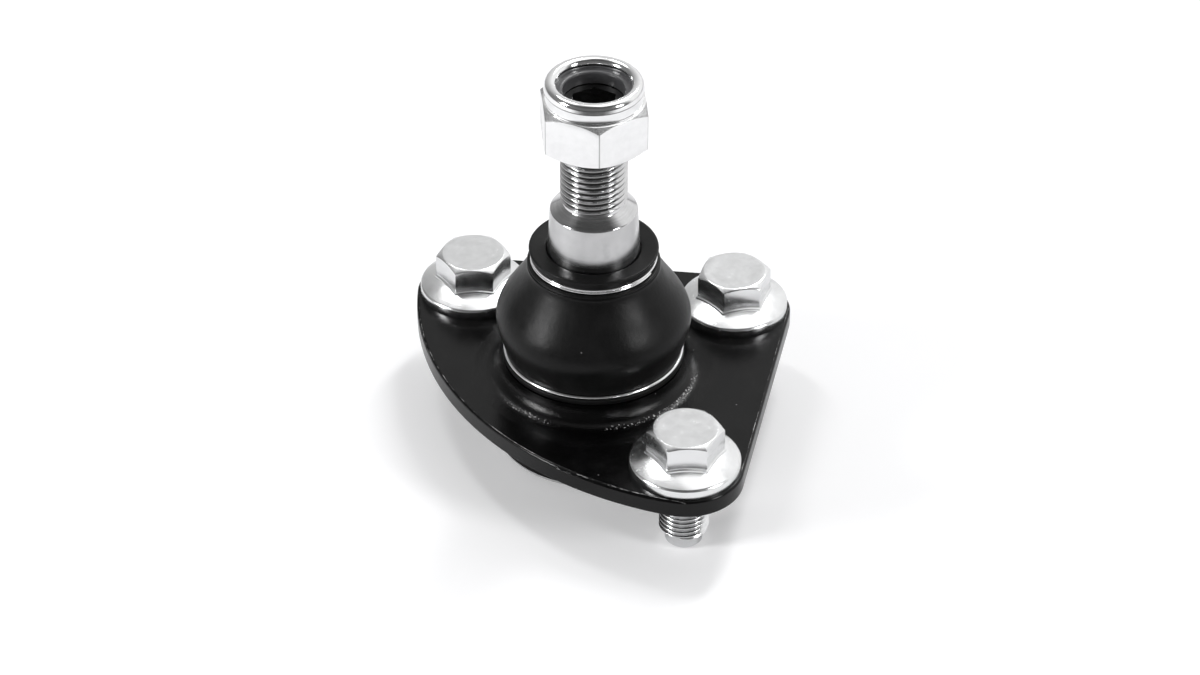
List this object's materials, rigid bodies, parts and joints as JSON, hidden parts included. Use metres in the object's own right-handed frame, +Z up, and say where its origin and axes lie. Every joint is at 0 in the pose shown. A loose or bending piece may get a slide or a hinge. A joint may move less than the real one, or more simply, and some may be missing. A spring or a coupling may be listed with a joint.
{
  "type": "suspension ball joint",
  "caption": "Bolt-on suspension ball joint: a black plate housing with flange bolts, a rubber boot held by wire rings and a tapered stud with a self-locking nut.",
  "frame": {"origin": "on the stud's axis, level with the underside of the mounting plate", "axes": "+Z up the stud, +X towards the corner bolt, +Y towards the left one of the two side bolts"},
  "size_m": [0.0907, 0.1156, 0.1046],
  "materials": {
    "black_paint": "gloss",
    "seat_plastic": "satin",
    "stud_steel": "satin",
    "boot_rubber": "matte",
    "ring_plastic": "matte",
    "spring_wire": "gloss",
    "zinc_steel": "satin",
    "nylon": "satin"
  },
  "bodies": {
    "housing": {"housing": "black_paint", "end_cap": "black_paint", "lower_ring": "spring_wire", "bolt_corner": "zinc_steel", "bolt_left": "zinc_steel", "bolt_front": "zinc_steel"},
    "seat": {"bearing_seat": "seat_plastic"},
    "boot_collar": {"support_ring": "ring_plastic", "upper_ring": "spring_wire", "dust_boot": "boot_rubber"},
    "stud": {"ball_stud": "stud_steel", "lock_nut": "zinc_steel", "nylon_insert": "nylon"}
  },
  "joints": [
    {"name": "tilt_direction", "type": "hinge", "parent": "housing", "child": "seat", "pos_m": [0, 0, 0.0035], "axis": [0, 0, 1], "continuous": true},
    {"name": "stud_tilt", "type": "hinge", "parent": "seat", "child": "boot_collar", "pos_m": [0, 0, 0.0035], "axis": [1, 0, 0], "range_deg": [-25, 25], "deforming": ["dust_boot"]},
    {"name": "stud_spin", "type": "hinge", "parent": "boot_collar", "child": "stud", "pos_m": [0, 0, 0.0035], "axis": [0, 0, 1], "continuous": true}
  ]
}
